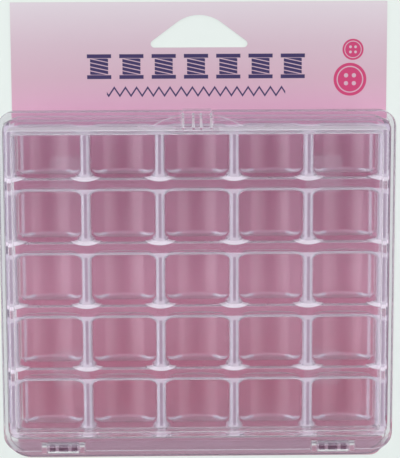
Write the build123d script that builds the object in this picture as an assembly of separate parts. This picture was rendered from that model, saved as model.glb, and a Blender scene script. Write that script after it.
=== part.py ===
from build123d import *
import os
from math import cos, radians, sin, tan

# Thread spool storage box: a clear hinged box with a tray of pockets, glued to a hang card.
# Millimetres, +Z up. The box lies on the back of its card with the lid on top.
# The origin is on the card's back face, under the middle of the pocket grid.
# +Y points to the latch and the card's header, -Y to the hinges.

# ---- driving dimensions -------------------------------------------------------------------
# the bobbin that a pocket takes, standing on its rim with its axle along Y
bobbin_diameter = 20.5
bobbin_lid_gap = 1.0

# hang card
card_thickness = 0.4
card_width = 121.0
card_shift = 1.0            # the card is glued on a little to the right of the box
card_header = 33.6          # how far the card stands out past the box's latch side
card_tail = 4.4             # how far its other end stands out past the hinge side
card_foot_corner = 4.0
hang_hole_foot = 14.6       # from the card's top edge down to the hole's straight side
hang_hole_base = 36.0       # base and rise of the hole's triangle before its corners are rounded
hang_hole_rise = 13.3
hang_hole_corner = 1.2
hang_hole_crown = 12.0

# glue pads between the card and the box
pad_thickness = 0.6
pad_size = 12.0
pad_inset = 20.0

# pocket tray
columns = 5
rows = 5
pitch_x = 23.6
pitch_y = 20.45
mouth_x = 20.9
mouth_y = 16.25
mouth_corner = 3.2          # a pocket's corners are longer across it than along it
mouth_corner_end = 1.9
corner_flats = 3            # flats that round a pocket's corner, few because there are so many
pocket_depth = 13.0
pocket_draft = 3.0
trough_radius = 13.5
sheet = 0.7                 # thickness of the formed sheet
land_edge = 0.5             # bevel where the land turns down into a pocket

# base
wall = 1.5
base_floor = 1.4
base_draft = 1.5
base_foot_edge = 0.9
tray_side_play = 0.3
tray_bearing = 0.7          # how much of the tray's flange lies on the base's shelf
field_margin_x = 1.65       # from a pocket's outside to the base's inner wall
field_margin_y = 0.8
side_ledge = 1.0            # how far the rim stands out of the tub at each side
front_ledge = 2.0
hinge_ledge = 6.2
rim_height = 1.6            # rim above the shelf that carries the tray
rim_skirt = 1.4             # lip that hangs from the ledges
front_corner = 5.0
rear_corner = 8.5

# lid
lid_gap = 0.3
flange_thickness = 1.5
lid_wall = 1.3
lid_top = 1.4
lid_draft = 3.0
panel_side = 3.3            # from the rim's outside in to the top of the raised panel
panel_front = 5.175         # the same at the latch side and the hinge side
panel_corner = 1.2
panel_edge = 0.45
rib_thickness = 1.0
rib_depth = 0.9
rib_end_margin = 7.0        # the side ribs stop short of the rim's rear corners

# hinges: two snap-on knuckles over pins moulded on the base
hinge_spacing = 86.8
hinge_back = 3.7            # axis, ahead of the hinge ledge's rear edge
hinge_rise = 0.4            # axis, above the underside of the lid's flange
pin_diameter = 2.4
running_gap = 0.05
knuckle_radius = 1.9
knuckle_length = 10.0
knuckle_mouth = 1.9
ear_thickness = 1.6
hinge_gap = 0.3
window_depth = 1.2
window_middle = 2.6
window_side = 1.5
window_offset = 3.5
flange_behind_axis = 1.0

# latch: a springy tongue with a bead that snaps under the front ledge
tongue_width = 9.2
tongue_thickness = 1.1
tongue_reach = 0.3          # how far the tongue stands proud of the rim
tongue_length = 5.0         # below the flange's underside
bead_height = 0.7
bead_proud = 0.3
bead_gap = 0.2
boss_width = 10.4
boss_height = 1.0
gusset = 0.8                # thickness of the upright ribs on the boss
gusset_offsets = (-4.4, -1.2, 1.2, 4.4)
gusset_margin = 0.5
thumb_width = 29.2
thumb_depth = 4.1
thumb_height = 0.7

# ---- levels and lines worked out from them ------------------------------------------------
pad_z = card_thickness
base_z = pad_z + pad_thickness
floor_z = base_z + base_floor
deck_z = floor_z + sheet + pocket_depth
shelf_z = deck_z - sheet
rim_z = shelf_z + rim_height
flange_z = rim_z + lid_gap
flange_top_z = flange_z + flange_thickness
lid_z = floor_z + sheet + bobbin_diameter + bobbin_lid_gap + lid_top

field_x = (columns - 1) * pitch_x + mouth_x + 2 * sheet
field_y = (rows - 1) * pitch_y + mouth_y + 2 * sheet
tub_in_x = field_x / 2 + field_margin_x
tub_in_y = field_y / 2 + field_margin_y
tub_x = tub_in_x + wall
tub_y = tub_in_y + wall
rim_x = tub_x + side_ledge
rim_front = tub_y + front_ledge
rim_rear = -(tub_y + side_ledge)
rim_in_x = tub_in_x + tray_bearing + tray_side_play
rim_in_y = tub_in_y + tray_bearing + tray_side_play
ledge_rear = -(tub_y + hinge_ledge)

hinge_y = ledge_rear + hinge_back
hinge_z = flange_z + hinge_rise
hinge_x = hinge_spacing / 2
flange_rear = hinge_y - flange_behind_axis
flange_rear_corner = rear_corner - (flange_rear - ledge_rear)
knuckle_root = hinge_y + knuckle_radius + hinge_gap

panel_x = rim_x - panel_side
panel_y = rim_front - panel_front
panel_foot_y = panel_y + (lid_z - flange_top_z) * tan(radians(lid_draft))
tongue_y = rim_front + tongue_reach
tongue_in_y = tongue_y - tongue_thickness
notch_y = tongue_in_y - bead_proud - bead_gap
far = 10.0                  # how far cutting tools run past what they cut


def outline(half_x, front, rear, front_r, rear_r, z):
    """A rectangle at height z, symmetric about X = 0, with its own radius at each end."""
    shape = Pos(0, (front + rear) / 2, z) * Rectangle(2 * half_x, front - rear)
    shape = fillet(shape.vertices().group_by(Axis.Y)[-1], front_r)
    return fillet(shape.vertices().group_by(Axis.Y)[0], rear_r)


def slab(half_x, front, rear, front_r, rear_r, low, high):
    """The same outline as an upright solid between two heights."""
    return extrude(outline(half_x, front, rear, front_r, rear_r, low), high - low)


def block(x0, x1, y0, y1, z0, z1):
    """An axis-aligned box from its corners."""
    return Pos((x0 + x1) / 2, (y0 + y1) / 2, (z0 + z1) / 2) * Box(x1 - x0, y1 - y0, z1 - z0)


def rod(radius, x0, x1):
    """A round rod along X on the hinge axis."""
    return Pos((x0 + x1) / 2, hinge_y, hinge_z) * Rot(0, 90, 0) * Cylinder(radius, x1 - x0)


# ---- pocket tray --------------------------------------------------------------------------
def pocket(grow):
    """One pocket's space below the land, grown by a wall thickness.

    The plan is a rounded rectangle that narrows with the draft. The floor is a trough along Y,
    in which the bobbin stands on its rim.
    """
    depth = pocket_depth + grow
    corner_x = mouth_corner + grow
    corner_y = mouth_corner_end + grow
    middle_x = mouth_x / 2 + grow - corner_x
    middle_y = mouth_y / 2 + grow - corner_y
    points = []
    for quarter, (side_x, side_y) in enumerate(((1, 1), (-1, 1), (-1, -1), (1, -1))):
        for step in range(corner_flats + 1):
            turn = radians(90 * (quarter + step / corner_flats))
            x = side_x * middle_x + corner_x * cos(turn)
            y = side_y * middle_y + corner_y * sin(turn)
            points.append((x, y))
    mouth = Pos(0, 0, deck_z) * Polygon(*points, align=None)
    body = extrude(mouth, depth, dir=(0, 0, -1), taper=pocket_draft)
    radius = trough_radius + grow
    centre = deck_z - depth + radius
    trough = Pos(0, 0, centre) * Rot(90, 0, 0) * Cylinder(radius, 2 * mouth_y)
    above = block(-radius, radius, -mouth_y, mouth_y, centre, centre + depth)
    return body & (trough + above)


def cell():
    """One pocket with its share of the land around it, as formed sheet."""
    land = block(-pitch_x / 2, pitch_x / 2, -pitch_y / 2, pitch_y / 2, shelf_z, deck_z)
    shape = land + pocket(sheet) - pocket(0)
    mouth = shape.faces().sort_by(Axis.Z)[-1].inner_wires()[0].edges()
    return chamfer(mouth, land_edge)


def pocket_tray():
    """All pockets side by side, inside the flat flange that lies on the base's shelf."""
    flange_x = rim_in_x - tray_side_play
    flange_y = rim_in_y - tray_side_play
    corner = front_corner - wall
    tray = slab(flange_x, flange_y, -flange_y, corner, corner, shelf_z, deck_z)
    grid_x = columns * pitch_x / 2
    grid_y = rows * pitch_y / 2
    tray -= block(-grid_x, grid_x, -grid_y, grid_y, shelf_z, deck_z)
    one = cell()
    cells = [place * one for place in GridLocations(pitch_x, pitch_y, columns, rows)]
    return tray + cells


# ---- base ---------------------------------------------------------------------------------
def rim():
    """The rim around the tub: a shelf for the tray, the ledges, and the lip hanging from them."""
    low = shelf_z - wall - rim_skirt
    shape = slab(rim_x, rim_front, ledge_rear, front_corner, rear_corner, low, shelf_z)
    inner = (rim_x - wall, rim_front - wall, ledge_rear + wall)
    shape -= slab(*inner, front_corner - wall, rear_corner - wall, low, shelf_z - wall)
    upper = slab(rim_x, rim_front, rim_rear, front_corner, front_corner, shelf_z, rim_z)
    corner = front_corner - wall
    return shape + upper - slab(rim_in_x, rim_in_y, -rim_in_y, corner, corner, shelf_z, rim_z)


def tub(grow, low):
    """The drafted body of the base from the shelf down to low; grow is 0 inside, wall outside."""
    top = outline(
        tub_in_x + grow, tub_in_y + grow, -tub_in_y - grow, front_corner - wall + grow,
        front_corner - wall + grow, shelf_z,
    )
    return extrude(top, shelf_z - low, dir=(0, 0, -1), taper=base_draft)


def hinge_ears(x):
    """Two ears on the hinge ledge with the hinge pin moulded between them."""
    reach = knuckle_length / 2 + hinge_gap
    ears = rod(pin_diameter / 2, x - reach - ear_thickness, x + reach + ear_thickness)
    for side in (-1, 1):
        inner = x + side * reach
        outer = inner + side * ear_thickness
        x0, x1 = sorted((inner, outer))
        leg = block(x0, x1, hinge_y - knuckle_radius, hinge_y + knuckle_radius, shelf_z, hinge_z)
        ears += leg + rod(knuckle_radius, x0, x1)
    return ears


def base():
    """The tub, its rim, the hinge pins on their ears, and the notch that takes the tongue."""
    body = tub(wall, base_z)
    body = chamfer(body.faces().sort_by(Axis.Z)[0].edges(), base_foot_edge)
    body += rim()
    body -= tub(0, floor_z)
    for x in (-hinge_x, hinge_x):
        reach = knuckle_length / 2 + hinge_gap
        body -= rod(knuckle_radius + hinge_gap, x - reach, x + reach)
        body += hinge_ears(x)
    half = tongue_width / 2 + hinge_gap
    body -= block(-half, half, notch_y, rim_front + far, shelf_z - wall - rim_skirt, rim_z)
    return body


# ---- lid ----------------------------------------------------------------------------------
def panel(inset, low, high):
    """The lid's raised panel as a drafted solid whose top edge is inset from the panel's."""
    x = panel_x - inset
    y = panel_y - inset
    top = outline(x, y, -y, panel_corner, panel_corner, high)
    return extrude(top, high - low, dir=(0, 0, -1), taper=-lid_draft)


def locating_rib():
    """A low rib under the flange that keeps the lid square inside the base's rim."""
    x = rim_in_x - lid_gap
    y = rim_in_y - lid_gap
    corner = front_corner - wall - lid_gap
    end = -(rim_in_y - rib_end_margin)
    low = flange_z - rib_depth
    inner = (x - rib_thickness, y - rib_thickness, -y, corner - rib_thickness)
    ring = slab(x, y, -y, corner, corner, low, flange_z)
    ring -= slab(*inner, corner - rib_thickness, low, flange_z)
    return ring - block(-rim_x, rim_x, rim_rear, end, low, flange_z)


def knuckle(x):
    """A C-shaped knuckle that snaps over a pin, with three mould windows in its crown."""
    half = knuckle_length / 2
    shape = rod(knuckle_radius, x - half, x + half)
    shape += block(x - half, x + half, hinge_y, knuckle_root, flange_z, flange_top_z)
    shape -= rod(pin_diameter / 2 + running_gap, x - half - far, x + half + far)
    mouth = knuckle_mouth / 2
    shape -= block(x - half, x + half, hinge_y - mouth, hinge_y + mouth, hinge_z - far, hinge_z)
    sizes = (window_side, window_middle, window_side)
    for offset, size in zip((-window_offset, 0, window_offset), sizes):
        x0 = x + offset - size / 2
        depth = window_depth / 2
        shape -= block(x0, x0 + size, hinge_y - depth, hinge_y + depth, hinge_z, hinge_z + far)
    return shape


def flange():
    """The flat rim of the lid, cut away around the hinge ears."""
    corners = (front_corner, flange_rear_corner)
    shape = slab(rim_x, rim_front, flange_rear, *corners, flange_z, flange_top_z)
    half = knuckle_length / 2 + hinge_gap + ear_thickness + hinge_gap
    for x in (-hinge_x, hinge_x):
        shape -= block(
            x - half, x + half, flange_rear - far, knuckle_root, flange_z, flange_top_z,
        )
    return shape


def thumb_pad():
    """A raised crescent in front of the panel, where a thumb lifts the lid."""
    radius = (thumb_width**2 / 4 + thumb_depth**2) / (2 * thumb_depth)
    centre = panel_foot_y + thumb_depth - radius
    high = flange_top_z + thumb_height
    disc = Pos(0, centre, (flange_top_z + high) / 2) * Cylinder(radius, thumb_height)
    return disc & block(-rim_x, rim_x, panel_y, rim_front, flange_top_z, high)


def tongue():
    """The springy latch tongue, with its bead along the inside of its lower edge."""
    half = tongue_width / 2
    low = flange_z - tongue_length
    shape = block(-half, half, tongue_in_y, tongue_y, low, flange_top_z)
    radius = bead_height / 2
    bead_y = tongue_in_y - bead_proud + radius
    return shape + Pos(0, bead_y, low + radius) * Rot(0, 90, 0) * Cylinder(radius, tongue_width)


def latch_boss():
    """The boss over the tongue, with upright ribs that tie it to the front of the panel."""
    half = boss_width / 2
    boss_z = flange_top_z + boss_height
    inner = panel_y - lid_wall / 2
    boss = block(-half, half, inner, tongue_y, flange_top_z, boss_z)
    front = tongue_y - gusset_margin
    high = lid_z - panel_edge
    corners = [(inner, boss_z), (front, boss_z), (panel_y + gusset_margin, high), (inner, high)]
    profile = Plane.YZ * Polygon(*corners, align=None)
    for offset in gusset_offsets:
        boss += Pos(offset, 0, 0) * extrude(profile, gusset / 2, both=True)
    return boss


def lid():
    """The lid in one moulding: flange, raised panel, rib, knuckles and latch."""
    shape = panel(0, flange_z, lid_z)
    shape = chamfer(shape.faces().sort_by(Axis.Z)[-1].edges(), panel_edge)
    shape += flange()
    shape += latch_boss()
    shape -= panel(lid_wall, flange_z, lid_z - lid_top)
    shape += locating_rib()
    shape += thumb_pad()
    shape += tongue()
    for x in (-hinge_x, hinge_x):
        shape += knuckle(x)
    return shape


# ---- hang card and glue pads --------------------------------------------------------------
def hang_card():
    """A plain card with a low three-cornered hang hole in its header."""
    top = rim_front + card_header
    bottom = ledge_rear - card_tail
    card = Pos(card_shift, (top + bottom) / 2, card_thickness / 2)
    card = card * Box(card_width, top - bottom, card_thickness)
    card = fillet(card.edges().filter_by(Axis.Z).group_by(Axis.Y)[0], card_foot_corner)
    foot = top - hang_hole_foot
    half = hang_hole_base / 2
    crown = foot + hang_hole_rise
    hole = Pos(card_shift, 0, 0) * Polygon((-half, foot), (half, foot), (0, crown), align=None)
    hole = fillet(hole.vertices().group_by(Axis.Y)[0], hang_hole_corner)
    hole = fillet(hole.vertices().group_by(Axis.Y)[-1], hang_hole_crown)
    return card - extrude(hole, card_thickness)


def glue_pads():
    """Four square double-sided pads that hold the base to the card."""
    spread_x = 2 * (tub_x - pad_inset)
    spread_y = 2 * (tub_y - pad_inset)
    pad = Box(pad_size, pad_size, pad_thickness)
    places = GridLocations(spread_x, spread_y, 2, 2)
    return [Pos(0, 0, pad_z + pad_thickness / 2) * place * pad for place in places]


pieces = {
    "hang_card": hang_card(),
    "glue_pads": Compound(glue_pads()),
    "base": base(),
    "pocket_tray": pocket_tray(),
    "lid": lid(),
}
os.makedirs("parts", exist_ok=True)
for name, shape in pieces.items():
    export_step(shape, f"parts/{name}.step")
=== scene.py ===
import math

import bmesh
import bpy
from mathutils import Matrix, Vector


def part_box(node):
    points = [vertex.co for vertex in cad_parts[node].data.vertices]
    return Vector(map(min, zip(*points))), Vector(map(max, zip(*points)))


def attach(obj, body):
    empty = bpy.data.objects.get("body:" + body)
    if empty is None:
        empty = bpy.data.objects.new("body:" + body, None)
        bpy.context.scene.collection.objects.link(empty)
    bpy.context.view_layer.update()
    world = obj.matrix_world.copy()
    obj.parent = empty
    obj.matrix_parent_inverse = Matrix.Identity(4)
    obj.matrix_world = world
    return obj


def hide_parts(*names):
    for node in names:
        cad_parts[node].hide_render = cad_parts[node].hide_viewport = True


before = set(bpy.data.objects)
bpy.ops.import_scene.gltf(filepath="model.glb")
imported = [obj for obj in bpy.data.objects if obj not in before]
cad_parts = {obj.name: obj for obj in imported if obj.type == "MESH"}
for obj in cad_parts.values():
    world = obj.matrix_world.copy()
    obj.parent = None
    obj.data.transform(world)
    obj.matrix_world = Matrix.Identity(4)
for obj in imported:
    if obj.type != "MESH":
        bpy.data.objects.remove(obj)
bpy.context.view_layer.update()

# ---- hang card ------------------------------------------------------------------------------
# The card that the box is sold on: coated board 0.4 mm thick, die cut with a low three-cornered
# hang hole. The front is printed in bands of mauve and rose, deepened under the box as painted
# shade, with a row of bobbins, a line of zigzag stitches and two buttons. The back and the cut
# edges are bare board.
MM = 0.001
PRINT_EDGE = 0.12


def srgb(red, green, blue):
    """A colour given as it looks on a screen, from 0 to 255, in the shader's own scale."""
    parts = [value / 255 for value in (red, green, blue)]
    return [
        part / 12.92 if part <= 0.04045 else ((part + 0.055) / 1.055) ** 2.4 for part in parts
    ] + [1.0]


class Ink:
    """A socket in the tree of the material being mixed. Sums on it become Math nodes."""

    tree = None

    def __init__(self, socket):
        self.socket = socket

    @classmethod
    def node(cls, kind, settings=None, inputs=None, out=0):
        """Adds a node, its settings first and then the values or links of its sockets."""
        made = cls.tree.nodes.new(kind)
        for name, value in (settings or {}).items():
            if name == "stops":
                while len(made.color_ramp.elements) < len(value):
                    made.color_ramp.elements.new(0.5)
                for stop, (place, colour) in zip(made.color_ramp.elements, value):
                    stop.position, stop.color = place, colour
            else:
                setattr(made, name, value)
        for name, value in (inputs or {}).items():
            if isinstance(value, Ink):
                cls.tree.links.new(value.socket, made.inputs[name])
            else:
                made.inputs[name].default_value = value
        return cls(made.outputs[out]) if made.outputs else None

    def sum(self, operation, *others):
        """Adds a Math node that works on this socket and on other sockets or numbers."""
        inputs = dict(enumerate((self, *others)))
        return Ink.node("ShaderNodeMath", {"operation": operation}, inputs)

    def __add__(self, other):
        return self.sum("ADD", other)

    __radd__ = __add__

    def __sub__(self, other):
        return self.sum("SUBTRACT", other)

    def __rsub__(self, other):
        return self.sum("MULTIPLY_ADD", -1.0, other)

    def __mul__(self, other):
        return self.sum("MULTIPLY", other)

    __rmul__ = __mul__

    def __truediv__(self, other):
        return self.sum("DIVIDE", other)

    def __abs__(self):
        return self.sum("ABSOLUTE")

    def most(self, other):
        return self.sum("MAXIMUM", other)

    def least(self, other):
        return self.sum("MINIMUM", other)

    def held(self):
        """The same value, kept between 0 and 1."""
        return self.most(0.0).least(1.0)

    def wrapped(self, pitch):
        """The same value, started again from 0 at each step of the pitch."""
        return self.sum("WRAP", pitch, 0.0)

    def inside(self):
        """1 where this distance in millimetres is below 0, else 0, with a soft printed edge."""
        return (0.5 - self / PRINT_EDGE).held()


def finish_of(name):
    """A new material with an empty tree, which the next nodes go into."""
    material = bpy.data.materials.new(name)
    material.use_nodes = True
    material.node_tree.nodes.clear()
    Ink.tree = material.node_tree
    return material


def surface(shader):
    """Puts the finished shader on the surface."""
    Ink.node("ShaderNodeOutputMaterial", inputs={"Surface": shader})


def place_in_mm():
    """The point's own X, Y and Z on the piece, in millimetres."""
    here = Ink.node("ShaderNodeTexCoord", out="Object")
    return [
        Ink.node("ShaderNodeSeparateXYZ", inputs={0: here}, out=axis) * (1 / MM)
        for axis in range(3)
    ]


def blend(factor, under, over):
    """Two colours mixed by a factor."""
    return Ink.node(
        "ShaderNodeMix", {"data_type": "RGBA"}, {0: factor, 6: under, 7: over}, out=2
    )


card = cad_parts["hang_card"]
card_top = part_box("hang_card")[1].y / MM
card_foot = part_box("hang_card")[0].y / MM
printed_board = finish_of("printed_board")
x, y = place_in_mm()[:2]

# the printed tint, from the card's top edge down to its foot; under the box it is deeper than the
# print alone, as painted shade from the box and its tray, most of all under the front row of
# pockets
down = (card_top - y) / (card_top - card_foot)
tint = Ink.node(
    "ShaderNodeValToRGB",
    {
        "stops": [
            (0.00, srgb(226, 216, 223)),
            (0.09, srgb(217, 193, 205)),
            (0.16, srgb(215, 180, 196)),
            (0.235, srgb(222, 171, 197)),
            (0.27, srgb(186, 110, 144)),
            (0.32, srgb(173, 88, 125)),
            (0.46, srgb(187, 108, 138)),
            (0.60, srgb(208, 134, 158)),
            (0.74, srgb(202, 120, 144)),
            (0.86, srgb(193, 100, 127)),
            (0.93, srgb(190, 116, 138)),
            (0.96, srgb(190, 144, 160)),
        ]
    },
    {0: down},
)
navy = srgb(58, 46, 96)
button_pink = srgb(206, 62, 116)

# the row of bobbins, seen from the side: two cheeks, and the turns of thread wound between them
BOBBINS, BOBBIN_PITCH, BOBBIN_Y = 7, 10.4, 67.0
CHEEK_REACH, CHEEK_OFF, CHEEK_INK = 3.9, 3.35, 0.62
WOUND_REACH, WOUND_OFF = 2.9, 2.6
TURN_PITCH, TURN_SLOPE, TURN_GAP = 1.3, 0.22, 0.14
row_half = BOBBINS * BOBBIN_PITCH / 2
along = (x + row_half).wrapped(BOBBIN_PITCH) - BOBBIN_PITCH / 2
up = y - BOBBIN_Y
cheek = (abs(along) - CHEEK_REACH).most(abs(abs(up) - CHEEK_OFF) - CHEEK_INK)
wound = (abs(along) - WOUND_REACH).most(abs(up) - WOUND_OFF)
thread = abs((up + along * TURN_SLOPE).wrapped(TURN_PITCH) - TURN_PITCH / 2) - TURN_GAP
row_ends = abs(x) - row_half
bobbin_ink = cheek.least(wound.most(0.0 - thread)).most(row_ends).inside()

# the zigzag line under it, whose ink is measured square to the slanting stitches
ZIGZAG_Y, ZIGZAG_HALF, ZIGZAG_START = 58.9, 28.8, 30.0
STITCH_PITCH, STITCH_SLOPE, STITCH_SQUARE, STITCH_INK = 3.6, 1.5, 0.55, 0.24
zig = abs((x + ZIGZAG_START).wrapped(STITCH_PITCH) - STITCH_PITCH / 2) - STITCH_PITCH / 4
stitch = abs(y - ZIGZAG_Y - zig * STITCH_SLOPE) * STITCH_SQUARE - STITCH_INK
stitch_ink = stitch.most(abs(x) - ZIGZAG_HALF).inside()

# the buttons' ring and holes, as shares of a button's radius
RING, RING_INK, HOLE_OFF, HOLE = 0.78, 0.035, 0.24, 0.13


def button(centre_x, centre_y, radius):
    """The print of a four-hole button: a disc with a fine ring and four holes."""
    off_x, off_y = x - centre_x, y - centre_y
    away = (off_x * off_x + off_y * off_y).sum("SQRT")
    ring = abs(away - radius * RING) - radius * RING_INK
    hole_x, hole_y = abs(off_x) - radius * HOLE_OFF, abs(off_y) - radius * HOLE_OFF
    hole = (hole_x * hole_x + hole_y * hole_y).sum("SQRT") - radius * HOLE
    return (away - radius).most(0.0 - ring).most(0.0 - hole)


button_ink = button(49.7, 62.6, 5.3).least(button(50.6, 72.2, 3.4)).inside()


def mottling(scale, detail=2.0):
    """Noise that is fixed to the piece, its scale in cells to a metre."""
    here = Ink.node("ShaderNodeTexCoord", out="Object")
    return Ink.node("ShaderNodeTexNoise", inputs={"Vector": here, "Scale": scale, "Detail": detail})


# fibres of the board where it is bare, and the slight bumps of its coated front
fibre = mottling(900.0, 4.0)
bare = blend(fibre, srgb(226, 224, 218), srgb(243, 242, 238))
facing = Ink.node("ShaderNodeNewGeometry", out="Normal")
print_face = Ink.node("ShaderNodeSeparateXYZ", inputs={0: facing}, out=2).sum("GREATER_THAN", 0.5)
inked = blend(button_ink, blend(bobbin_ink.most(stitch_ink), tint, navy), button_pink)
pitting = Ink.node(
    "ShaderNodeBump", inputs={"Strength": 0.06, "Distance": 0.02 * MM, "Height": mottling(2600.0)}
)
board_shader = Ink.node(
    "ShaderNodeBsdfPrincipled",
    inputs={
        "Base Color": blend(print_face, bare, inked),
        "Roughness": 0.42 + 0.1 * fibre,
        "Coat Weight": 0.15 * print_face,
        "Coat Roughness": 0.25,
        "Normal": pitting,
    },
)
surface(board_shader)
card.material_slots[0].material = printed_board

# ---- glue pads ------------------------------------------------------------------------------
# Four squares of clear double-sided adhesive between the card and the box. They are pressed flat,
# with soft corners, and stop a hair short of the card and of the box.
PAD_HALF, PAD_LOW, PAD_HIGH, PAD_CORNER, PAD_EDGE = 6.0, 0.42, 0.98, 1.2, 0.12
PAD_X, PAD_Y = 41.5, 32.025


def deselect():
    """Leaves nothing selected, and no piece open for editing."""
    if bpy.context.mode != "OBJECT":
        bpy.ops.object.mode_set(mode="OBJECT")
    bpy.ops.object.select_all(action="DESELECT")


def take(ob):
    """Leaves this object alone selected and active."""
    deselect()
    ob.select_set(True)
    bpy.context.view_layer.objects.active = ob
    return ob


def brick(name, x0, x1, y0, y1, z0, z1):
    """A block between two corners in millimetres, with its place in its mesh."""
    deselect()
    middle = [(x0 + x1) / 2 * MM, (y0 + y1) / 2 * MM, (z0 + z1) / 2 * MM]
    bpy.ops.mesh.primitive_cube_add(size=1, location=middle)
    ob = bpy.context.object
    ob.name = ob.data.name = name
    ob.scale = [(x1 - x0) * MM, (y1 - y0) * MM, (z1 - z0) * MM]
    bpy.ops.object.transform_apply(location=True, rotation=True, scale=True)
    return ob


def pick(ob, kind, test):
    """Opens the piece for editing with the edges or faces that pass the test selected.

    The test gets the middle in millimetres and the edge's direction or the face's normal.
    """
    take(ob)
    bpy.ops.object.mode_set(mode="EDIT")
    bpy.ops.mesh.select_mode(type=kind)
    bpy.ops.mesh.select_all(action="DESELECT")
    mesh = bmesh.from_edit_mesh(ob.data)
    if kind == "FACE":
        for face in mesh.faces:
            face.select_set(bool(test(face.calc_center_median() / MM, face.normal)))
    else:
        for edge in mesh.edges:
            start, end = (corner.co for corner in edge.verts)
            edge.select_set(bool(test((start + end) / 2 / MM, (end - start).normalized())))
    bmesh.update_edit_mesh(ob.data)


def close():
    """Ends the editing of the open piece."""
    bpy.ops.object.mode_set(mode="OBJECT")


def round_edges(ob, radius, segments, test):
    """Rounds the edges that pass the test."""
    pick(ob, "EDGE", test)
    bpy.ops.mesh.bevel(offset=radius * MM, segments=segments, affect="EDGES")
    close()


def upright(middle, along):
    """A test for the edges that stand upright."""
    return abs(along.z) > 0.9


def lying(middle, along):
    """A test for the level edges."""
    return abs(along.z) < 0.1


def join(name, pieces):
    """Makes one object of several, without welding them."""
    take(pieces[0])
    for piece in pieces[1:]:
        piece.select_set(True)
    bpy.ops.object.join()
    pieces[0].name = pieces[0].data.name = name
    return pieces[0]


pads = []
for middle_y in (-PAD_Y, PAD_Y):
    for middle_x in (-PAD_X, PAD_X):
        rear, front = middle_y - PAD_HALF, middle_y + PAD_HALF
        pad = brick("pad", middle_x - PAD_HALF, middle_x + PAD_HALF, rear, front, PAD_LOW, PAD_HIGH)
        round_edges(pad, PAD_CORNER, 4, upright)
        round_edges(pad, PAD_EDGE, 2, lying)
        pads.append(pad)
glue_pads = join("glue_pads_clear", pads)

adhesive = finish_of("clear_adhesive")
haze = mottling(420.0)
surface(
    Ink.node(
        "ShaderNodeBsdfPrincipled",
        inputs={
            "Base Color": blend(haze, srgb(232, 226, 230), srgb(244, 240, 243)),
            "Roughness": 0.3 + 0.2 * haze,
            "Alpha": 0.05 + 0.06 * haze,
        },
    )
)
glue_pads.data.materials.append(adhesive)
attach(glue_pads, "box")
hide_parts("glue_pads")

# ---- base -----------------------------------------------------------------------------------
# The lower half of the box: clear polystyrene, injection moulded in one piece. A drafted tub with
# a rim that carries the tray, a ledge with a hanging lip all round, two hinge pins between ears,
# and a notch in front that the lid's tongue drops into.
BASE_LOW, FLOOR, LIP_LOW, LEDGE_UNDER, SHELF, RIM_TOP = 1.0, 2.4, 12.5, 13.9, 15.4, 17.0
HALF_WIDTH, REAR, RIM_REAR, FRONT = 62.5, -58.225, -53.025, 54.025
CORNER, REAR_CORNER, WALL, TUB_STEP = 5.0, 8.5, 1.5, 0.5
SEAT_X, SEAT_Y = HALF_WIDTH - WALL, -RIM_REAR - WALL
TUB_X, TUB_Y, TUB_DRAFT = SEAT_X + TUB_STEP, SEAT_Y + TUB_STEP, 1.5  # its draft in degrees
HINGE_X, HINGE_Y, HINGE_Z = 43.4, -54.525, 17.7
PIN, PIN_HALF, KNUCKLE, KNUCKLE_ROOM = 1.2, 6.0, 1.9, 2.2  # radii, and half the pin's length
EAR_INSIDE, EAR_OUTSIDE = 5.3, 6.9
NOTCH_HALF, NOTCH_REAR = 4.9, 52.725
EDGE, FOOT_EDGE, OPENING_EDGE, FLOOR_EDGE, FINE_EDGE = 0.3, 0.9, 0.25, 0.8, 0.2  # radii
BITE, BEYOND = 0.6, 70.0  # how deep joined forms overlap, and a place clear of the box
SHARP = 32  # corners past this many degrees stay sharp


def outline(name, half_x, rear, front, rear_r, front_r, low, high, segments=8):
    """A slab with rounded upright corners, of one radius at the rear and one in front."""

    def corners(side):
        """A test for the upright edges in front, or for those at the rear."""
        return lambda middle, along: upright(middle, along) and middle.y * side > 0

    ob = brick(name, -half_x, half_x, rear, front, low, high)
    round_edges(ob, front_r, segments, corners(1))
    round_edges(ob, rear_r, segments, corners(-1))
    return ob


def draft(ob, level, factor_x, factor_y):
    """Draws the face at this level in or out, so that the sides slope."""
    pick(ob, "FACE", lambda middle, normal: abs(normal.z) > 0.9 and abs(middle.z - level) < 0.01)
    bpy.ops.transform.resize(
        value=(factor_x, factor_y, 1), orient_type="GLOBAL", center_override=(0, 0, level * MM)
    )
    close()


def level_edges(level):
    """A test for the level edges at one height."""
    return lambda middle, along: lying(middle, along) and abs(middle.z - level) < 0.02


def carve(ob, tool, operation="DIFFERENCE"):
    """Cuts the tool from the piece, adds it, or keeps what both share, and uses the tool up."""
    take(ob)
    change = ob.modifiers.new("carve", "BOOLEAN")
    change.operation, change.solver, change.object = operation, "EXACT", tool
    bpy.ops.object.modifier_apply(modifier=change.name)
    bpy.data.objects.remove(tool)


def rod(name, radius, x0, x1, sides=48, y=HINGE_Y, z=HINGE_Z):
    """A round rod that lies along X, on the hinge axis unless told otherwise."""
    deselect()
    bpy.ops.mesh.primitive_cylinder_add(
        vertices=sides,
        radius=radius * MM,
        depth=(x1 - x0) * MM,
        location=((x0 + x1) / 2 * MM, y * MM, z * MM),
        rotation=(0, math.pi / 2, 0),
    )
    ob = bpy.context.object
    ob.name = name
    bpy.ops.object.transform_apply(location=True, rotation=True, scale=True)
    return ob


def tub_shape(name, half_x, half_y, corner, low, above=0.0):
    """The tub's drafted shape, at its full size at the shelf, and drawn on above it if need be."""
    shape = outline(name, half_x, -half_y, half_y, corner, corner, low, SHELF)
    inset = (SHELF - low) * math.tan(math.radians(TUB_DRAFT))
    draft(shape, low, 1 - inset / half_x, 1 - inset / half_y)
    if above:
        pick(shape, "FACE", lambda middle, normal: normal.z > 0.9)
        bpy.ops.mesh.extrude_region_move(TRANSFORM_OT_translate={"value": (0, 0, above * MM)})
        close()
    return shape


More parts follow.
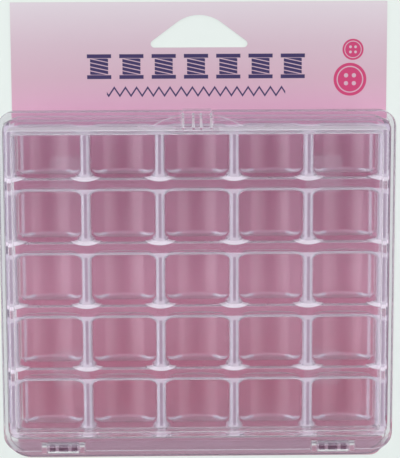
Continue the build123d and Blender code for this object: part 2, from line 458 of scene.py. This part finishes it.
def round_opening(middle, along):
    """A test for the edges round the opening in the rim's top."""
    inside = abs(middle.x) < SEAT_X + 0.1 and abs(middle.y) < SEAT_Y + 0.1
    return inside and level_edges(RIM_TOP)(middle, along)


# ledge and its lip, then the rim above it
base = outline("base_clear", HALF_WIDTH, REAR, FRONT, REAR_CORNER, CORNER, LIP_LOW, SHELF)
round_edges(base, EDGE, 3, lying)
upper = outline("upper", HALF_WIDTH, RIM_REAR, FRONT, CORNER, CORNER, LIP_LOW + BITE, RIM_TOP)
round_edges(upper, EDGE, 3, level_edges(RIM_TOP))
carve(base, upper, "UNION")
inner, rear_inner = CORNER - WALL, REAR_CORNER - WALL
lip_x, lip_rear, lip_front = HALF_WIDTH - WALL, REAR + WALL, FRONT - WALL
below = LIP_LOW - 2
under = outline("under", lip_x, lip_rear, lip_front, rear_inner, inner, below, LEDGE_UNDER)
carve(base, under)

# tub, the tray's seat on its shelf, and its hollow
tub = tub_shape("tub", TUB_X, TUB_Y, CORNER, BASE_LOW)
round_edges(tub, FOOT_EDGE, 4, level_edges(BASE_LOW))
carve(base, tub, "UNION")
carve(base, outline("seat", SEAT_X, -SEAT_Y, SEAT_Y, inner, inner, SHELF, RIM_TOP + 2))
round_edges(base, OPENING_EDGE, 2, round_opening)
hollow = tub_shape("hollow", TUB_X - WALL, TUB_Y - WALL, inner, FLOOR, above=0.3)
round_edges(hollow, FLOOR_EDGE, 3, level_edges(FLOOR))
carve(base, hollow)

# hinge pins between their ears, and the notch for the tongue
for hinge in (-HINGE_X, HINGE_X):
    carve(base, rod("knuckle_room", KNUCKLE_ROOM, hinge - EAR_INSIDE, hinge + EAR_INSIDE))
    for side in (-1, 1):
        x0, x1 = sorted((hinge + side * EAR_INSIDE, hinge + side * EAR_OUTSIDE))
        ear = rod("ear", KNUCKLE, x0, x1)
        round_edges(ear, FINE_EDGE, 2, lambda middle, along: abs(along.x) < 0.5)
        leg = brick("leg", x0, x1, HINGE_Y - KNUCKLE, HINGE_Y + KNUCKLE, SHELF - BITE, HINGE_Z)
        carve(ear, leg, "UNION")
        carve(base, ear, "UNION")
    carve(base, rod("pin", PIN, hinge - PIN_HALF, hinge + PIN_HALF), "UNION")
carve(base, brick("notch", -NOTCH_HALF, NOTCH_HALF, NOTCH_REAR, BEYOND, LIP_LOW - 1, RIM_TOP + 1))


def even_shading(ob):
    """Shades a moulding smooth, with its sharp corners kept, and lets the large flat faces set the
    shading of the small rounded edges beside them."""
    take(ob)
    bpy.ops.object.shade_smooth_by_angle(angle=math.radians(SHARP))
    shading = ob.modifiers.new("even", "WEIGHTED_NORMAL")
    shading.keep_sharp, shading.weight = True, 50
    bpy.ops.object.modifier_apply(modifier=shading.name)


even_shading(base)


def own_normal():
    """How far the surface faces along X, along Y and upright, each from 0 to 1."""
    facing = Ink.node("ShaderNodeTexCoord", out="Normal")
    return [
        abs(Ink.node("ShaderNodeSeparateXYZ", inputs={0: facing}, out=axis)) for axis in range(3)
    ]


def between(value, low, high, soft):
    """1 while a value in millimetres lies between two others, with a soft edge outside them."""
    middle, half = (low + high) / 2, (high - low) / 2
    return (1.0 - (abs(value - middle) - half) / soft).held()


MOULDING_TINT = (0.955, 0.94, 0.96, 1.0)
# the dark tint below is painted shade on the pins, seen in their knuckles' windows
PIN_SHADE_TINT = (0.46, 0.3, 0.4, 1.0)


def steep_walls():
    """The finish of a moulding: how much painted light it carries, how satin it is, and its two
    tints.

    Painted highlights, a pale milky white, lie on the steep walls, most at the front of the raised
    panel, less at the latch, and least at the hinges and the rear wall. A grey painted shade lies
    on the ledge at the hinges, which is also matt, on the rim's sides and on the front edge. The
    pins get a dark tint as painted shade in the windows of their knuckles.
    """
    x, y, z = place_in_mm()
    across, along = own_normal()[:2]

    # each of these is 1 in its own place and 0 outside it
    steep = (across.most(along) * 3.0 - 1.0).held()
    latch = between(x, -6.5, 6.5, 0.5) * between(y, 48.0, 56.0, 0.5)
    beside = abs(abs(x) - HINGE_X)
    hinge = between(beside, -1.0, 7.0, 0.3) * between(y, -57.0, -52.2, 0.3)
    ledge = between(y, -60.0, -52.6, 0.3) * between(z, 10.0, 17.2, 0.1)
    rim = between(abs(x), 60.5, 64.0, 0.8)
    front = between(y, 53.8, 55.0, 0.15)
    panel = between(y, 47.5, 52.0, 0.3) * between(z, 19.2, 26.0, 0.3)
    rear = between(y, -53.4, -46.0, 0.4)
    window = between(beside, -1.0, 1.3, 0.2).most(between(beside, 2.75, 4.25, 0.2))
    pin = window * between(y, HINGE_Y - 0.7, HINGE_Y + 0.7, 0.2)

    # the share of painted highlight on the steep walls
    walls = 0.35 + panel * 0.2 - latch * 0.16 - hinge * 0.28 - rear * 0.26
    painted_light_share = (steep * walls).most(ledge * 0.2)
    satin = 0.02 + ledge * 0.2
    # the painted light is white, and grey where it is painted shade on the ledge, the rim's sides
    # and the front edge
    painted_light_colour = blend(ledge.most(rim).most(front), srgb(238, 235, 243), srgb(150, 141, 154))
    return painted_light_share, satin, blend(pin, MOULDING_TINT, PIN_SHADE_TINT), painted_light_colour


def clear_plastic(name, tint, wave, wave_size, smudge, finish):
    """Clear plastic: a coloured glass to the eye, and a pale tint to the light that casts shadows.

    The wave is the slight unevenness of the skin, the smudge is where it has been handled, and the
    finish tells how much light is painted on each place and how satin it is, with the tints of the
    glass and of the painted light.
    """
    material = finish_of(name)
    painted_light_share, satin, clear, painted_light_colour = finish()
    ripple = mottling(1 / (wave_size * MM))
    handled = mottling(45.0, 5.0)
    glass = Ink.node(
        "ShaderNodeBsdfPrincipled",
        inputs={
            "Base Color": clear,
            "Roughness": satin + smudge * (handled - 0.45).most(0.0),
            "IOR": 1.5,
            "Transmission Weight": 1.0,
            "Normal": Ink.node(
                "ShaderNodeBump",
                inputs={"Strength": 1.0, "Distance": wave * MM, "Height": ripple},
            ),
        },
    )
    # a lit coat of white or grey over the glass, which paints highlights and shade
    painted_light_coat = Ink.node(
        "ShaderNodeBsdfPrincipled",
        inputs={"Base Color": painted_light_colour, "Roughness": 0.35, "IOR": 1.5},
    )
    body = Ink.node("ShaderNodeMixShader", inputs={0: painted_light_share, 1: glass, 2: painted_light_coat})
    light = Ink.node("ShaderNodeBsdfTransparent", inputs={"Color": tint})
    shadow = Ink.node("ShaderNodeLightPath", out="Is Shadow Ray")
    surface(Ink.node("ShaderNodeMixShader", inputs={0: shadow, 1: body, 2: light}))
    return material


moulded_plastic = clear_plastic(
    "clear_moulding", MOULDING_TINT, wave=0.006, wave_size=9.0, smudge=0.15, finish=steep_walls
)
base.data.materials.append(moulded_plastic)
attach(base, "box")
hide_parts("base")

# ---- pocket tray ----------------------------------------------------------------------------
# A sheet of clear plastic 0.7 mm thick, vacuum formed into twenty-five pockets. Each pocket has a
# trough for a floor, in which a bobbin stands on its rim. The land between the pockets turns down
# into them in a soft radius, and the tray's edge lies loose on the shelf inside the base's rim.
POCKETS = 5
DECK, POCKET_FLOOR, CELL_LOW, SHEET = 16.1, 3.1, 0.5, 0.7
PITCH_X, PITCH_Y = 23.6, 20.45
MOUTH_X, MOUTH_Y, MOUTH_EDGE, POCKET_CORNER = 10.45, 8.125, 0.95, 3.2
CORNER_STRETCH = 1.7  # how much longer a pocket's corners are along Y than across
SIDE_DRAFT, END_DRAFT = 2.0, 4.5  # degrees
TROUGH, TROUGH_STEP, TROUGH_STEPS = 13.5, 1.15, 7  # its radius, and the strips of its floor
TROUGH_EDGE, TROUGH_SHARP, MOUTH_DEPTH = 0.9, 26, 3
TRAY_PLAY, TRAY_CORNER = 0.3, 3.5
TRAY_X, TRAY_Y = SEAT_X - TRAY_PLAY, SEAT_Y - TRAY_PLAY
NEAR, WELD, ROW_WELD = 0.01, 0.001, 0.02


def everything(middle, direction):
    """A test that all faces pass."""
    return True


def floor_line(reach):
    """A test for the edges of the void's floor along Y, at this distance from its middle."""

    def on_line(middle, along):
        low = abs(middle.z - POCKET_FLOOR) < NEAR
        return low and abs(along.y) > 0.9 and abs(abs(middle.x) - reach) < NEAR

    return on_line


# the void of one pocket: its floor is divided into strips, and each line between them is lifted
# to the trough's curve and drawn in by the draft of the walls at that depth
cell_x, cell_y = PITCH_X / 2, PITCH_Y / 2
cell = brick("pocket_tray_clear", -cell_x, cell_x, -cell_y, cell_y, CELL_LOW, DECK)
void = brick("void", -MOUTH_X, MOUTH_X, -MOUTH_Y, MOUTH_Y, POCKET_FLOOR, DECK)
lines = [step * TROUGH_STEP for step in range(TROUGH_STEPS)] + [MOUTH_X]
for line in lines[:-1]:
    for side in (-1, 1):
        pick(void, "FACE", everything)
        bpy.ops.mesh.bisect(plane_co=(side * line * MM, 0, 0), plane_no=(1, 0, 0))
        bpy.ops.mesh.select_all(action="SELECT")
        bpy.ops.mesh.remove_doubles(threshold=WELD * MM)
        close()
for line in lines:
    rise = TROUGH - math.sqrt(TROUGH**2 - line**2)
    drop = DECK - POCKET_FLOOR - rise
    pick(void, "EDGE", floor_line(line))
    in_x = 1 - drop * math.tan(math.radians(SIDE_DRAFT)) / MOUTH_X
    in_y = 1 - drop * math.tan(math.radians(END_DRAFT)) / MOUTH_Y
    bpy.ops.transform.resize(value=(in_x, in_y, 1), center_override=(0, 0, 0))
    bpy.ops.transform.translate(value=(0, 0, rise * MM))
    close()


def pocket_corner(middle, along):
    """A test for the void's four upright corners, while it is stretched."""
    return upright(middle, along) and abs(middle.x) > MOUTH_X - MOUTH_EDGE and abs(middle.y) > 12


# the corners are rounded while the void is stretched along Y, which makes them elliptical
for stretch in (CORNER_STRETCH, 1 / CORNER_STRETCH):
    pick(void, "FACE", everything)
    bpy.ops.transform.resize(value=(1, stretch, 1), center_override=(0, 0, 0))
    close()
    if stretch > 1:
        round_edges(void, POCKET_CORNER, 6, pocket_corner)

# the sharp edges round the trough are rounded, but not those at the mouth, and the void is cut
# from its cell
take(void)
bpy.ops.object.mode_set(mode="EDIT")
bpy.ops.mesh.select_mode(type="EDGE")
bpy.ops.mesh.select_all(action="DESELECT")
bpy.ops.mesh.edges_select_sharp(sharpness=math.radians(TROUGH_SHARP))
mesh = bmesh.from_edit_mesh(void.data)
for edge in mesh.edges:
    if (edge.verts[0].co.z + edge.verts[1].co.z) / 2 > (DECK - MOUTH_DEPTH) * MM:
        edge.select_set(False)
bmesh.update_edit_mesh(void.data)
bpy.ops.mesh.bevel(offset=TROUGH_EDGE * MM, segments=4, affect="EDGES")
close()
carve(cell, void)


def not_skin(middle, normal):
    """A test for the cell's sides and underside."""
    outside = abs(middle.x) > cell_x - NEAR or abs(middle.y) > cell_y - NEAR
    return outside or middle.z < CELL_LOW + 0.5


def round_mouth(middle, along):
    """A test for the edges round the pocket's mouth."""
    inside = abs(middle.x) < MOUTH_X + NEAR and abs(middle.y) < MOUTH_Y + NEAR
    return inside and abs(middle.z - DECK) < NEAR


# only the skin is kept: the land, and the pocket that turns down from it in a soft radius
pick(cell, "FACE", not_skin)
bpy.ops.mesh.delete(type="FACE")
close()
round_edges(cell, MOUTH_EDGE, 4, round_mouth)

# the first pocket goes to its corner of the tray, and the others follow it
pick(cell, "FACE", everything)
away = (POCKETS - 1) / 2
bpy.ops.transform.translate(value=(-away * PITCH_X * MM, -away * PITCH_Y * MM, 0))
close()
for step in ((PITCH_X * MM, 0, 0), (0, PITCH_Y * MM, 0)):
    row = cell.modifiers.new("row", "ARRAY")
    row.count = POCKETS
    row.use_relative_offset, row.use_constant_offset = False, True
    row.constant_offset_displace = step
    row.use_merge_vertices, row.merge_threshold = True, ROW_WELD * MM
    bpy.ops.object.modifier_apply(modifier=row.name)
tray = cell
GRID_X, GRID_Y = POCKETS / 2 * PITCH_X, POCKETS / 2 * PITCH_Y


def grid_edge(middle, along):
    """A test for the open edges round the grid of pockets."""
    return abs(middle.x) > GRID_X - NEAR or abs(middle.y) > GRID_Y - NEAR


# the edge is drawn out to the rim, the sheet gets its thickness, and its corners are trimmed
pick(tray, "EDGE", grid_edge)
bpy.ops.mesh.extrude_edges_move(TRANSFORM_OT_translate={"value": (0, 0, 0)})
bpy.ops.transform.resize(
    value=(TRAY_X / GRID_X, TRAY_Y / GRID_Y, 1), center_override=(0, 0, DECK * MM)
)
close()
formed = tray.modifiers.new("formed", "SOLIDIFY")
formed.thickness, formed.offset, formed.use_even_offset = SHEET * MM, -1, True
formed.use_quality_normals = True
take(tray)
bpy.ops.object.modifier_apply(modifier=formed.name)
trim = outline("trim", TRAY_X, -TRAY_Y, TRAY_Y, TRAY_CORNER, TRAY_CORNER, 0, DECK + 1)
carve(tray, trim, "INTERSECT")
even_shading(tray)

SHEET_TINT = (0.955, 0.935, 0.955, 1.0)


def sheet_finish_and_painted_light():
    """The finish of the formed sheet: how much painted light it carries, how satin it is, and its
    two tints.

    Painted highlights, a pale milky white, lie on the webs between the pockets and most of all at
    the feet of the webs, fainter in the rear row, with lesser ones at their heads and heels, on the
    upright walls and lips round the land, in a line low on the outer pockets' side walls, low on
    the pockets' end walls near the webs, and faintly on the land. A grey painted shade lies along
    the middle of each web. Beside is the distance from the nearest web's middle, and up is the
    distance along Y from the pocket's middle.
    """
    x, y, z = place_in_mm()
    across, along, level = own_normal()

    # each of these is 1, or its own share of painted light, in its own place and 0 outside it
    beside = PITCH_X / 2 - abs((x + PITCH_X / 2).wrapped(PITCH_X) - PITCH_X / 2)
    up = (y + PITCH_Y / 2).wrapped(PITCH_Y) - PITCH_Y / 2
    outer = between(abs(x), 56.2, 58.0, 0.2)
    wall = (across * 3.0 - 1.0).held() * between(z, 11.8, DECK, 1.2) * (0.75 - outer * 0.6)
    hem = between(abs(x), 55.8, 56.3, 0.3) * between(z, 5.6, 9.0, 0.8) * 0.4
    lip = (along * 2.0 - 0.3).held() * between(z, DECK - 1.0, DECK, 0.4)
    web = between(beside, -1.0, 1.3, 0.3) * between(up, -MOUTH_Y, MOUTH_Y, 0.4) * 0.52
    bow = up + MOUTH_Y + 0.4 - beside * beside * 0.05
    rear_row = 0.3 + between(y, -46.5, 60.0, 1.0) * 0.7
    foot = between(bow, -0.5, 0.55, 0.3) * between(beside, -1.0, 4.8, 1.0) * rear_row
    heel = between(beside, -1.0, 1.5, 0.3) * between(up, -MOUTH_Y - 0.3, 2.0 - MOUTH_Y, 0.6)
    head = between(up, MOUTH_Y - 1.3, MOUTH_Y + 0.4, 0.35) * between(beside, -1.0, 3.9, 0.7)
    land = between(abs(up), MOUTH_Y + 0.7, PITCH_Y, 0.4) * 0.045
    # painted highlights at the feet, heels and heads of the webs, on the webs, and faintly on the
    # land
    spot_highlights = (foot * 0.95).most(heel * 0.6).most(head * 0.5).most(web).most(land)
    fold = (along * level * 3.0 - 0.4).held() * between(z, 3.2, 9.2, 0.5)
    crease_highlight = fold * (0.12 + between(beside, 0.8, 5.4, 1.6) * 0.95) * (0.5 - up / 12).most(0.0)
    # a grey painted shade along the middle of each web
    ridge_shade = between(beside, -1.0, 0.3, 0.35) * between(up, 1.5 - MOUTH_Y, MOUTH_Y - 1.0, 0.5)

    painted_light_share = wall.most(hem).most(lip * (0.34 + up / 40).most(0.0)).most(crease_highlight)
    painted_light_share = painted_light_share.most(spot_highlights * between(z, DECK - 2.0, DECK, 0.5))
    satin = 0.05 + (between(z, 0.0, 7.5, 1.5) * 0.28).most(lip * 0.2)
    # the painted highlights are whitest at the feet of the webs
    painted_light_colour = blend(foot, srgb(229, 225, 235), srgb(246, 241, 248))
    return painted_light_share, satin, SHEET_TINT, blend(ridge_shade, painted_light_colour, srgb(172, 162, 177))


formed_plastic = clear_plastic(
    "clear_sheet", SHEET_TINT, wave=0.008, wave_size=7.0, smudge=0.2, finish=sheet_finish_and_painted_light
)
tray.data.materials.append(formed_plastic)
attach(tray, "box")
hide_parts("pocket_tray")

# ---- lid ------------------------------------------------------------------------------------
# The upper half, moulded in one piece of the same plastic: a flange, a raised panel, a low rib
# that finds the base's rim, two C-shaped knuckles that snap over the hinge pins, and the latch
# tongue under its ribbed boss, with a crescent for the thumb.
FLANGE_LOW, FLANGE_TOP, PANEL_TOP = 17.3, 18.8, 26.0
LID_REAR, LID_REAR_CORNER = -55.525, 5.8
PANEL_X, PANEL_Y, PANEL_CORNER, PANEL_EDGE = 59.2, 48.85, 1.2, 0.45
PANEL_WALL, PANEL_DRAFT = 1.3, 3  # the draft in degrees
CAVITY_TOP, CAVITY_CORNER, CAVITY_EDGE = 24.6, 1.0, 0.4


def panel_shape(name, inset, low, high, corner):
    """The raised panel's drafted shape, measured at its top."""
    half_x, half_y = PANEL_X - inset, PANEL_Y - inset
    shape = outline(name, half_x, -half_y, half_y, corner, corner, low, high, segments=5)
    spread = (high - low) * math.tan(math.radians(PANEL_DRAFT))
    draft(shape, low, 1 + spread / half_x, 1 + spread / half_y)
    return shape


lid = outline(
    "lid_clear", HALF_WIDTH, LID_REAR, FRONT, LID_REAR_CORNER, CORNER, FLANGE_LOW, FLANGE_TOP
)
round_edges(lid, EDGE, 3, lying)
panel = panel_shape("panel", 0, FLANGE_LOW + BITE / 2, PANEL_TOP, PANEL_CORNER)
round_edges(panel, PANEL_EDGE, 4, level_edges(PANEL_TOP))
carve(lid, panel, "UNION")
cavity = panel_shape("cavity", PANEL_WALL, FLANGE_LOW - 1, CAVITY_TOP, CAVITY_CORNER)
round_edges(cavity, CAVITY_EDGE, 3, level_edges(CAVITY_TOP))
carve(lid, cavity)

# locating rib, of the tray's outline and open towards the hinges
RIB_LOW, RIB_WALL, RIB_CORNER, RIB_REAR = 16.4, 1.0, 3.2, -44.525
rib = outline("rib", TRAY_X, -TRAY_Y, TRAY_Y, RIB_CORNER, RIB_CORNER, RIB_LOW, FLANGE_LOW + BITE)
round_edges(rib, FINE_EDGE, 2, level_edges(RIB_LOW))
inner, rib_x, rib_front = RIB_CORNER - RIB_WALL, TRAY_X - RIB_WALL, TRAY_Y - RIB_WALL
below, above = RIB_LOW - 1.4, FLANGE_TOP + 0.2  # clear of the rib and of the flange
carve(rib, outline("rib_inside", rib_x, -BEYOND, rib_front, inner, inner, below, above))
carve(rib, brick("rib_end", -BEYOND, BEYOND, -BEYOND, RIB_REAR, below, above))
carve(lid, rib, "UNION")

# room for the hinge ears, then the knuckles with their snap mouths and mould windows
KNUCKLE_HALF, PIN_HOLE, SNAP_HALF, WINDOW_HALF = 5, 1.25, 0.95, 0.6
ROOM_HALF, ROOM_FRONT, ROOT_FRONT, ABOVE_HINGE = 7.2, -52.325, -51.9, 21
WINDOWS = ((-3.5, 1.5), (0, 2.6), (3.5, 1.5))  # the middle and the width of each
for hinge in (-HINGE_X, HINGE_X):
    x0, x1 = hinge - ROOM_HALF, hinge + ROOM_HALF
    carve(lid, brick("room", x0, x1, -BEYOND, ROOM_FRONT, below, ABOVE_HINGE))
    x0, x1 = hinge - KNUCKLE_HALF, hinge + KNUCKLE_HALF
    knuckle = rod("knuckle", KNUCKLE, x0, x1)
    carve(knuckle, brick("root", x0, x1, HINGE_Y, ROOT_FRONT, FLANGE_LOW, FLANGE_TOP), "UNION")
    carve(knuckle, rod("pin_hole", PIN_HOLE, x0 - 3, x1 + 3))
    y0, y1 = HINGE_Y - SNAP_HALF, HINGE_Y + SNAP_HALF
    carve(knuckle, brick("snap", x0 - 1, x1 + 1, y0, y1, below, HINGE_Z))
    y0, y1 = HINGE_Y - WINDOW_HALF, HINGE_Y + WINDOW_HALF
    for offset, size in WINDOWS:
        x0 = hinge + offset - size / 2
        carve(knuckle, brick("window", x0, x0 + size, y0, y1, HINGE_Z, ABOVE_HINGE))
    carve(lid, knuckle, "UNION")

# latch: a boss on the flange, fins that lean back to the panel, and the tongue with its bead
BOSS_HALF, BOSS_REAR, BOSS_FRONT, BOSS_HIGH = 5.2, 48.3, 54.325, 1.0
FIN_PLACES = (-4.4, -1.2, 1.2, 4.4)
FIN_HALF, FIN_FRONT, FIN_TOP, FIN_LEAN = 0.4, 53.825, 25.55, 4.475
TONGUE_HALF, TONGUE_REAR, TONGUE_LOW, TONGUE_EDGE = 4.6, 53.225, 12.3, 0.25
BEAD, BEAD_HALF, BEAD_Y, BEAD_Z = 0.35, 4.4, 53.275, 12.7  # its radius, half length and place


def boss_edge(middle, along):
    """A test for the boss's free edges."""
    return middle.y > BOSS_REAR + 1 and (middle.z > FLANGE_TOP or upright(middle, along))


def fin_crest(middle, along):
    """A test for the upper front edge of a fin, which is drawn back to the panel."""
    return abs(along.x) > 0.9 and middle.y > FIN_FRONT - NEAR and middle.z > FIN_TOP - NEAR


def fin_side(middle, along):
    """A test for the long edges of a fin."""
    return middle.y > BOSS_REAR + 0.7 and abs(along.x) < 0.1 and middle.z > FLANGE_TOP + 1


def tongue_edge(middle, along):
    """A test for the tongue's front and lower edges."""
    return middle.y > BOSS_FRONT - 0.3 or middle.z < TONGUE_LOW + 0.1


top = FLANGE_TOP + BOSS_HIGH
boss = brick("boss", -BOSS_HALF, BOSS_HALF, BOSS_REAR, BOSS_FRONT, FLANGE_TOP - BITE, top)
round_edges(boss, EDGE, 3, boss_edge)
carve(lid, boss, "UNION")
for place in FIN_PLACES:
    x0, x1 = place - FIN_HALF, place + FIN_HALF
    fin = brick("fin", x0, x1, BOSS_REAR, FIN_FRONT, FLANGE_TOP + BITE, FIN_TOP)
    pick(fin, "EDGE", fin_crest)
    bpy.ops.transform.translate(value=(0, -FIN_LEAN * MM, 0))
    close()
    round_edges(fin, FINE_EDGE, 2, fin_side)
    carve(lid, fin, "UNION")
tongue = brick("tongue", -TONGUE_HALF, TONGUE_HALF, TONGUE_REAR, BOSS_FRONT, TONGUE_LOW, FLANGE_TOP)
round_edges(tongue, TONGUE_EDGE, 3, tongue_edge)
bead = rod("bead", BEAD, -BEAD_HALF, BEAD_HALF, sides=24, y=BEAD_Y, z=BEAD_Z)
carve(tongue, bead, "UNION")
carve(lid, tongue, "UNION")

# thumb crescent, cut from a low disc
THUMB_RADIUS, THUMB_Y, THUMB_Z, THUMB_THICK, THUMB_REAR = 28.045, 25.285, 19.0, 1.0, 48.6
deselect()
bpy.ops.mesh.primitive_cylinder_add(
    vertices=256,
    radius=THUMB_RADIUS * MM,
    depth=THUMB_THICK * MM,
    location=(0, THUMB_Y * MM, THUMB_Z * MM),
)
thumb = bpy.context.object
bpy.ops.object.transform_apply(location=True, rotation=True, scale=True)
round_edges(thumb, EDGE, 3, level_edges(THUMB_Z + THUMB_THICK / 2))
x0, x1 = -THUMB_RADIUS - 2, THUMB_RADIUS + 2
front = brick("front", x0, x1, THUMB_REAR, FRONT - EDGE, THUMB_Z - 2, THUMB_Z + 2)
carve(thumb, front, "INTERSECT")
carve(lid, thumb, "UNION")
even_shading(lid)
lid.data.materials.append(moulded_plastic)
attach(lid, "lid")
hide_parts("lid")

# ---- floor, light and camera ----------------------------------------------------------------
# A plain pale floor just under the card, five soft lamps, and a sky that is bright at the sides
# and dim overhead, so that the clear plastic keeps its colour. The camera looks down on the box
# from a little towards the card's header.
FLOOR_HALF, FLOOR_TOP, FLOOR_LOW = 1500, -0.1, -1.1
PALE_PAINT, PALER_PAINT = (0.83, 0.90, 0.865, 1.0), (0.84, 0.91, 0.875, 1.0)
floor = brick("floor", -FLOOR_HALF, FLOOR_HALF, -FLOOR_HALF, FLOOR_HALF, FLOOR_LOW, FLOOR_TOP)
floor_paint = finish_of("pale_floor")
paint = Ink.node(
    "ShaderNodeBsdfDiffuse", inputs={"Color": blend(mottling(30.0), PALE_PAINT, PALER_PAINT)}
)
camera_ray, glossy_ray, through_ray = [
    Ink.node("ShaderNodeLightPath", out=way)
    for way in ("Is Camera Ray", "Is Glossy Ray", "Is Transmission Ray")
]
glow = Ink.node("ShaderNodeEmission", inputs={"Color": PALE_PAINT})
glowing = 0.5 * camera_ray.most(glossy_ray).most(through_ray)
surface(Ink.node("ShaderNodeMixShader", inputs={0: glowing, 1: paint, 2: glow}))
floor.data.materials.append(floor_paint)

LAMP_AIM = (0, 0, 10)


def lamp(name, place, wide, long, power, colour):
    """An oblong soft lamp that faces the box. Its place is in millimetres, its size in metres."""
    deselect()
    bpy.ops.object.light_add(type="AREA", location=[value * MM for value in place])
    ob = bpy.context.object
    ob.name, ob.data.shape, ob.data.energy, ob.data.color = name, "RECTANGLE", power, colour
    ob.data.size, ob.data.size_y = wide, long
    towards = [there - here for there, here in zip(LAMP_AIM, place)]
    level = math.hypot(towards[0], towards[1])
    ob.rotation_euler = (
        math.pi / 2 + math.atan2(towards[2], level),
        0,
        math.atan2(-towards[0], towards[1]),
    )


lamp("strip_left", (-520, 20, 300), 0.75, 0.12, 0.3, (0.96, 0.98, 1.0))
lamp("strip_right", (520, 20, 300), 0.75, 0.12, 0.25, (1.0, 0.99, 0.97))
lamp("soft_left", (-640, -40, 760), 0.5, 0.6, 2.5, (0.99, 0.99, 1.0))
lamp("soft_right", (660, -40, 760), 0.5, 0.6, 2.25, (1.0, 0.99, 0.98))
lamp("soft_front", (0, 520, 720), 0.9, 0.4, 1.4, (1.0, 1.0, 0.99))

sky = bpy.data.worlds.new("sky")
bpy.context.scene.world = sky
sky.use_nodes = True
sky.node_tree.nodes.clear()
Ink.tree = sky.node_tree
BRIGHT_SIDES = (0.84, 0.85, 0.87, 1.0)
DIM_SHOULDER, DIM_TOP = (0.22, 0.21, 0.23, 1.0), (0.19, 0.18, 0.20, 1.0)
ray = Ink.node("ShaderNodeTexCoord", out="Generated")
tent = Ink.node(
    "ShaderNodeValToRGB",
    {
        "stops": [
            (0.00, BRIGHT_SIDES),
            (0.48, BRIGHT_SIDES),
            (0.74, DIM_SHOULDER),
            (1.00, DIM_TOP),
        ]
    },
    {0: Ink.node("ShaderNodeSeparateXYZ", inputs={0: ray}, out=2)},
)
Ink.node(
    "ShaderNodeOutputWorld",
    inputs={"Surface": Ink.node("ShaderNodeBackground", inputs={"Color": tent})},
)

CAMERA_PLACE, CAMERA_TURN = (-7.2, 97.3, 546.3), (-8.68, -0.86, -0.34)
deselect()
bpy.ops.object.camera_add(location=[value * MM for value in CAMERA_PLACE])
camera = bpy.context.object
camera.rotation_mode = "ZYX"
camera.rotation_euler = [math.radians(turn) for turn in CAMERA_TURN]
camera.data.sensor_width, camera.data.lens = 36, 132.8
camera.data.clip_start, camera.data.clip_end = 0.01, 10
bpy.context.scene.camera = camera

# enough bounces for the light to pass all the skins of the closed box
BOUNCES, CLEAR_BOUNCES = 32, 48
bpy.context.scene.view_settings.view_transform = "Standard"
cycles = bpy.context.scene.cycles
cycles.max_bounces = cycles.glossy_bounces = cycles.transmission_bounces = BOUNCES
cycles.transparent_max_bounces = CLEAR_BOUNCES
